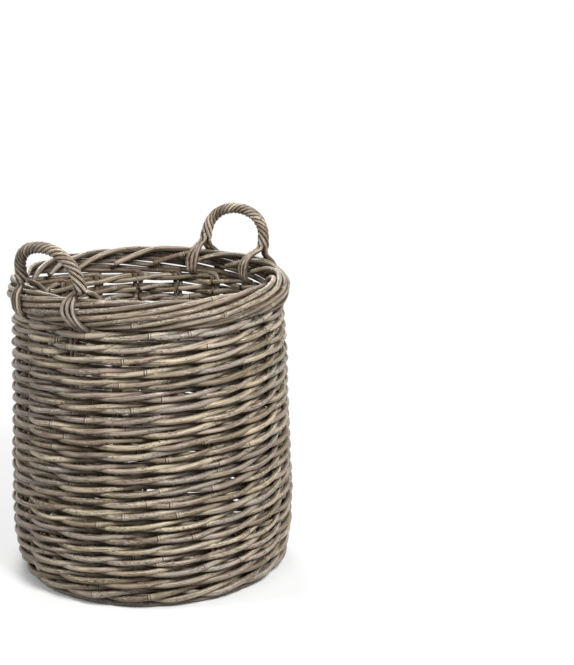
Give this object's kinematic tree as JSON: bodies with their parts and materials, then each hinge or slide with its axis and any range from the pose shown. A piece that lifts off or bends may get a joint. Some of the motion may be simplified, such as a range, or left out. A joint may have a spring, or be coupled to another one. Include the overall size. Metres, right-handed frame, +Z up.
{
  "type": "woven laundry basket",
  "caption": "Tall round laundry basket woven from grey rattan rods on paired stakes, with a rolled border and rigid rope-twist handles at opposite sides.",
  "frame": {"origin": "on the basket's axis, at the level that it stands on", "axes": "+Z up along the basket's axis, +X through the middle of one handle, the other handle at -X"},
  "size_m": [0.4522, 0.4552, 0.5598],
  "materials": {
    "wall_rod": "matt grey-brown unpeeled rattan",
    "stake_rod": "matt grey-brown unpeeled rattan",
    "base_rod": "matt grey-brown unpeeled rattan",
    "handle_strand": "thin grey-brown rattan strands"
  },
  "bodies": {
    "root": {"base_sticks_over": "base_rod", "base_sticks_under": "base_rod", "base_weave": "base_rod", "foot_hoop": "base_rod", "handle_left_inner_lashing": "handle_strand", "handle_left_outer_lashing": "handle_strand", "handle_left_rope": "handle_strand", "handle_right_inner_lashing": "handle_strand", "handle_right_outer_lashing": "handle_strand", "handle_right_rope": "handle_strand", "stake_pair_01": "stake_rod", "stake_pair_02": "stake_rod", "stake_pair_03": "stake_rod", "stake_pair_04": "stake_rod", "stake_pair_05": "stake_rod", "stake_pair_06": "stake_rod", "stake_pair_07": "stake_rod", "stake_pair_08": "stake_rod", "stake_pair_09": "stake_rod", "stake_pair_10": "stake_rod", "stake_pair_11": "stake_rod", "stake_pair_12": "stake_rod", "stake_pair_13": "stake_rod", "stake_pair_14": "stake_rod", "stake_pair_15": "stake_rod", "stake_pair_16": "stake_rod", "stake_pair_17": "stake_rod", "stake_pair_18": "stake_rod", "wale_round_01": "wall_rod", "wale_round_02": "wall_rod", "wale_round_03": "wall_rod", "wale_round_04": "wall_rod", "wale_round_05": "wall_rod", "wale_round_06": "wall_rod", "wale_round_07": "wall_rod", "wale_round_08": "wall_rod", "wale_round_09": "wall_rod", "wale_round_10": "wall_rod", "wale_round_11": "wall_rod", "wale_round_12": "wall_rod", "wale_round_13": "wall_rod", "wale_round_14": "wall_rod", "wale_round_15": "wall_rod", "wale_round_16": "wall_rod", "wale_round_17": "wall_rod", "wale_round_18": "wall_rod", "wale_round_19": "wall_rod", "wale_round_20": "wall_rod", "wale_round_21": "wall_rod", "wale_round_22": "wall_rod", "wale_round_23": "wall_rod"}
  },
  "joints": []
}
